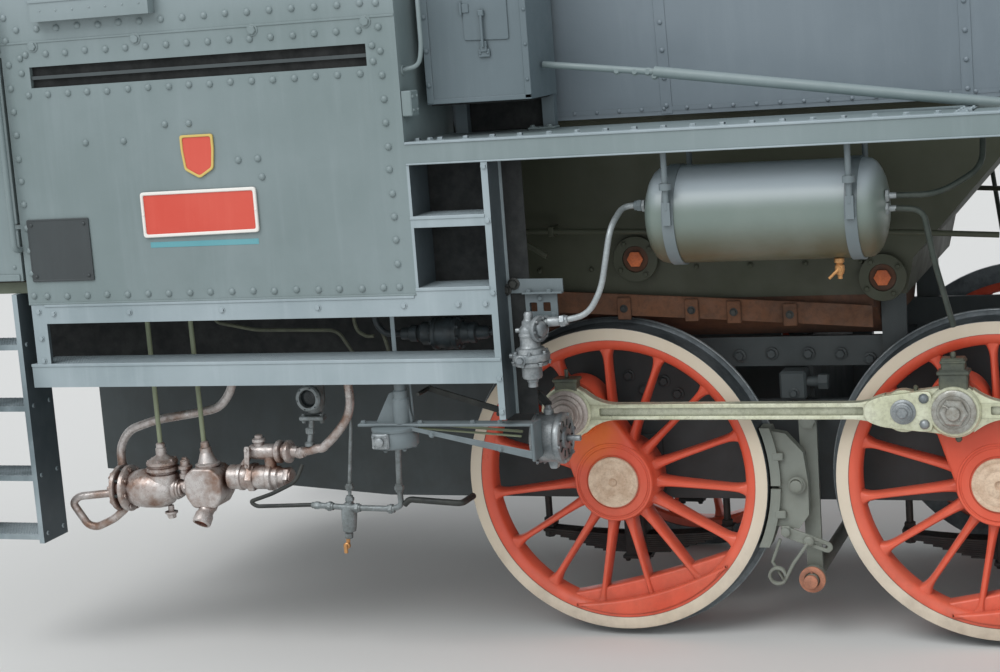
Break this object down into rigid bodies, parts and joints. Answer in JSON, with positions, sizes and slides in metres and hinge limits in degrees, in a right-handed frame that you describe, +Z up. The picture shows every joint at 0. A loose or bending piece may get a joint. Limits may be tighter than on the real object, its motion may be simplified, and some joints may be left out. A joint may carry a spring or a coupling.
{
  "type": "steam locomotive",
  "caption": "Ten-coupled steam goods locomotive with one leading axle, turning wheels, coupled rods, swivelling pony truck and opening smokebox and cab doors.",
  "frame": {"origin": "centre of the locomotive at the level of the wheel flanges' lowest points", "axes": "+X forwards along the engine, +Y to its left, +Z up"},
  "size_m": [14.685, 3.06, 4.431],
  "materials": {
    "grey_paint": "satin grey-green paint, dusty",
    "black_paint": "matt black paint",
    "frame_paint": "dark grey paint, oily",
    "wheel_red": "satin red paint",
    "bright_steel": "oiled bare steel",
    "rusty_iron": "rusted",
    "worn_bronze": "dull, oxidised"
  },
  "bodies": {
    "root": {"air_pump": "black_paint", "air_tanks": "grey_paint", "ashpan": "rusty_iron", "axle_boxes": "frame_paint", "backhead": "black_paint", "board_brackets": "grey_paint", "boiler_barrel": "grey_paint", "boiler_handrails": "grey_paint", "brake_gear": "frame_paint", "buffer_beam": "wheel_red", "buffers": "black_paint", "cab_floor": "grey_paint", "cab_front": "grey_paint", "cab_rear": "grey_paint", "cab_roof": "grey_paint", "cab_side_left": "grey_paint", "cab_side_right": "grey_paint", "chimney": "black_paint", "crossheads": "bright_steel", "cylinders": "black_paint", "domes": "black_paint", "drag_box": "frame_paint", "draw_hook": "bright_steel", "feed_valve": "black_paint", "firebox_cladding": "grey_paint", "firebox_shell": "black_paint", "frame_plates": "frame_paint", "frame_stays": "frame_paint", "head_lamps": "black_paint", "injectors": "worn_bronze", "leaf_springs": "frame_paint", "locker": "grey_paint", "main_rods": "bright_steel", "motion_brackets": "frame_paint", "reversing_rod": "grey_paint", "running_boards": "grey_paint", "safety_valves": "worn_bronze", "side_steps": "grey_paint", "slide_bars": "bright_steel", "smoke_deflectors": "grey_paint", "smokebox": "black_paint", "smokebox_saddle": "black_paint", "speed_drive": "black_paint", "steam_pipes": "black_paint", "valve_gear": "bright_steel"},
    "axle_1": {"wheelset_1": "wheel_red"},
    "axle_2": {"wheelset_2": "wheel_red"},
    "axle_3": {"wheelset_3": "wheel_red"},
    "axle_4": {"wheelset_4": "wheel_red"},
    "axle_5": {"wheelset_5": "wheel_red"},
    "rod_set_right": {"coupling_rods_right": "bright_steel"},
    "rod_set_left": {"coupling_rods_left": "bright_steel"},
    "pony_truck": {"pony_frame": "frame_paint"},
    "pony_axle": {"pony_wheelset": "wheel_red"},
    "front_door": {"smokebox_door": "black_paint"},
    "side_door_right": {"cab_door_right": "grey_paint"},
    "side_door_left": {"cab_door_left": "grey_paint"}
  },
  "joints": [
    {"name": "axle_3_turn", "type": "hinge", "parent": "root", "child": "axle_3", "pos_m": [-0.9825, 0, 0.711], "axis": [0, 1, 0], "continuous": true},
    {"name": "axle_1_turn", "type": "hinge", "parent": "root", "child": "axle_1", "pos_m": [2.3175, 0, 0.711], "axis": [0, 1, 0], "continuous": true},
    {"name": "axle_2_turn", "type": "hinge", "parent": "root", "child": "axle_2", "pos_m": [0.6675, 0, 0.711], "axis": [0, 1, 0], "continuous": true},
    {"name": "axle_4_turn", "type": "hinge", "parent": "root", "child": "axle_4", "pos_m": [-2.6325, 0, 0.711], "axis": [0, 1, 0], "continuous": true},
    {"name": "axle_5_turn", "type": "hinge", "parent": "root", "child": "axle_5", "pos_m": [-4.2825, 0, 0.711], "axis": [0, 1, 0], "continuous": true},
    {"name": "rod_set_right_turn", "type": "hinge", "parent": "axle_3", "child": "rod_set_right", "pos_m": [-1.14093, -0.917, 1.04315], "axis": [0, 1, 0], "continuous": true},
    {"name": "rod_set_left_turn", "type": "hinge", "parent": "axle_3", "child": "rod_set_left", "pos_m": [-1.31465, 0.917, 0.55257], "axis": [0, 1, 0], "continuous": true},
    {"name": "pony_swivel", "type": "hinge", "parent": "root", "child": "pony_truck", "pos_m": [3.4175, 0, 0.46], "axis": [0, 0, 1], "range_deg": [-3, 3]},
    {"name": "pony_axle_turn", "type": "hinge", "parent": "pony_truck", "child": "pony_axle", "pos_m": [4.9175, 0, 0.456], "axis": [0, 1, 0], "continuous": true},
    {"name": "front_door_open", "type": "hinge", "parent": "root", "child": "front_door", "pos_m": [4.7375, 0.79, 3.081], "axis": [0, 0, 1], "range_deg": [0, 110]},
    {"name": "side_door_right_open", "type": "hinge", "parent": "root", "child": "side_door_right", "pos_m": [-6.7625, -1.46, 2.7], "axis": [0, 0, -1], "range_deg": [0, 80]},
    {"name": "side_door_left_open", "type": "hinge", "parent": "root", "child": "side_door_left", "pos_m": [-6.7625, 1.46, 2.7], "axis": [0, 0, 1], "range_deg": [0, 80]}
  ],
  "couplings": [
    {"joint": "axle_1_turn", "follows": "axle_3_turn", "ratio": 1},
    {"joint": "axle_2_turn", "follows": "axle_3_turn", "ratio": 1},
    {"joint": "axle_4_turn", "follows": "axle_3_turn", "ratio": 1},
    {"joint": "axle_5_turn", "follows": "axle_3_turn", "ratio": 1},
    {"joint": "rod_set_right_turn", "follows": "axle_3_turn", "ratio": -1},
    {"joint": "rod_set_left_turn", "follows": "axle_3_turn", "ratio": -1}
  ]
}
